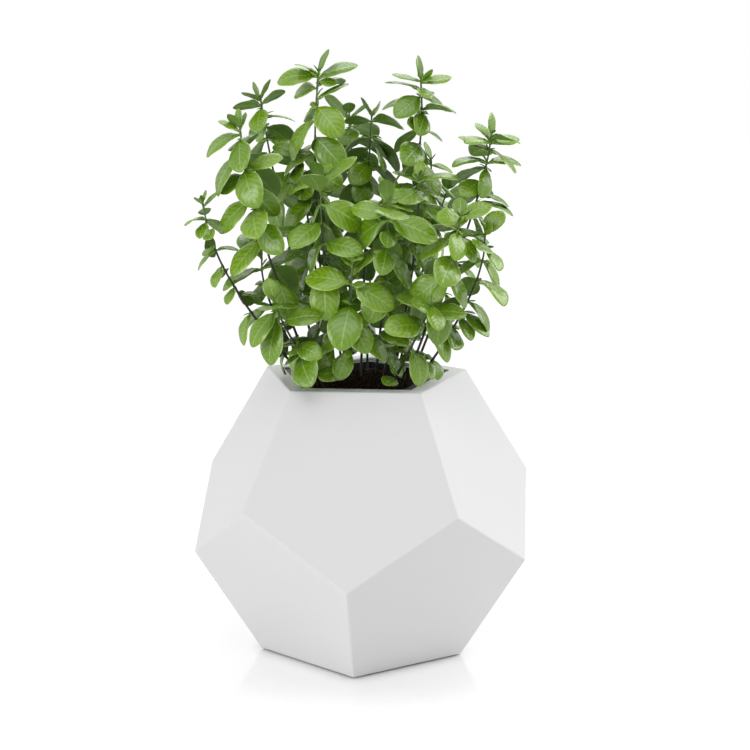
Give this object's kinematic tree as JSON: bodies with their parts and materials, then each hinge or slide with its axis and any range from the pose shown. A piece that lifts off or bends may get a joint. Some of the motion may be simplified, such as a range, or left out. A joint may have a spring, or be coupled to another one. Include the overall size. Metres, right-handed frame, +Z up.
{
  "type": "plant pot",
  "caption": "Faceted dodecahedral plant pot in white plastic, open at the top face, with a lift-out liner, a drain plug, rubber feet and a leafy herb rooted in soil.",
  "frame": {"origin": "on the surface that the pot stands on, under the centre of the pot", "axes": "+Z up through the open mouth, -Y towards the front upper face, +X to the right"},
  "size_m": [0.2612, 0.2744, 0.4775],
  "materials": {
    "pot_white": "satin white moulded plastic",
    "liner_black": "matt black moulded plastic",
    "rubber_black": "matt rubber",
    "soil_dark": "damp crumbly potting soil of peat and bark; wood stands in for it",
    "herb_green": "glossy living leaf and stem; fabric stands in for it"
  },
  "bodies": {
    "pot": {"outer_pot": "pot_white", "foot_pad_1": "rubber_black", "foot_pad_2": "rubber_black", "foot_pad_3": "rubber_black", "foot_pad_4": "rubber_black", "foot_pad_5": "rubber_black"},
    "planting": {"liner": "liner_black", "soil": "soil_dark", "sprig_01": "herb_green", "sprig_02": "herb_green", "sprig_03": "herb_green", "sprig_04": "herb_green", "sprig_05": "herb_green", "sprig_06": "herb_green", "sprig_07": "herb_green", "sprig_08": "herb_green", "sprig_09": "herb_green", "sprig_10": "herb_green", "sprig_11": "herb_green", "sprig_12": "herb_green", "sprig_13": "herb_green", "sprig_14": "herb_green", "sprig_15": "herb_green", "sprig_16": "herb_green", "sprig_17": "herb_green", "sprig_18": "herb_green", "sprig_19": "herb_green", "sprig_20": "herb_green", "sprig_21": "herb_green", "sprig_22": "herb_green"},
    "plug": {"drain_plug": "rubber_black"}
  },
  "joints": [
    {"name": "planting_lift", "type": "slide", "parent": "pot", "child": "planting", "axis": [0, 0, 1], "range_m": [0, 0.16]},
    {"name": "plug_pull", "type": "slide", "parent": "pot", "child": "plug", "axis": [0, 0, 1], "range_m": [0, 0.04]}
  ]
}
